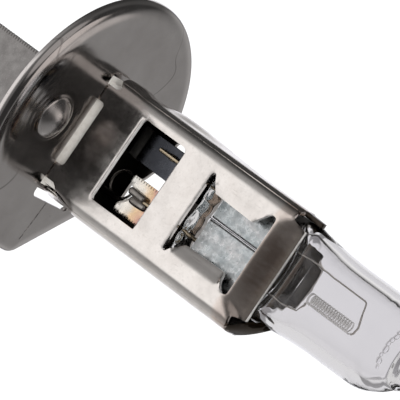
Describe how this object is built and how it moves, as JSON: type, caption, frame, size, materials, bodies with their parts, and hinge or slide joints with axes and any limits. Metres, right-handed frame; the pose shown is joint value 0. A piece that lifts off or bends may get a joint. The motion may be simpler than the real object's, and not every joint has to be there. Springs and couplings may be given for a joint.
{
  "type": "headlight bulb",
  "caption": "Single-filament halogen headlight bulb: quartz capsule in a stamped metal sleeve on a round flange, with a ceramic insulator and a flat rear terminal.",
  "frame": {"origin": "centre of the flange's front face", "axes": "+Z along the bulb axis towards the glass nose, X across the wide side of the sleeve, +Y out of the sleeve's front face"},
  "size_m": [0.024, 0.024, 0.0541],
  "materials": {
    "quartz": "clear fused quartz",
    "tungsten": "drawn wire",
    "lead_metal": "drawn wire",
    "molybdenum": "thin foil",
    "strap_nickel": "heat tinted strip",
    "weld_metal": "resistance weld",
    "sleeve_steel": "bright nickel-plated sheet",
    "flange_steel": "bright plated sheet",
    "ceramic": "unglazed steatite",
    "blade_metal": "matte plated strip"
  },
  "bodies": {
    "root": {"quartz_envelope": "quartz", "filament_coil": "tungsten", "long_lead_wire": "lead_metal", "short_lead_wire": "lead_metal", "live_foil": "molybdenum", "ground_foil": "molybdenum", "live_outer_pin": "lead_metal", "ground_outer_pin": "lead_metal", "live_crimp": "strap_nickel", "strap_welds": "weld_metal", "live_strap": "strap_nickel", "ground_strap": "strap_nickel", "link_wire": "lead_metal", "sleeve_front_shell": "sleeve_steel", "sleeve_back_shell": "sleeve_steel", "flange_disc": "flange_steel", "insulator_cup": "flange_steel", "flange_welds": "weld_metal", "ceramic_insulator": "ceramic", "blade_terminal": "blade_metal"}
  },
  "joints": []
}
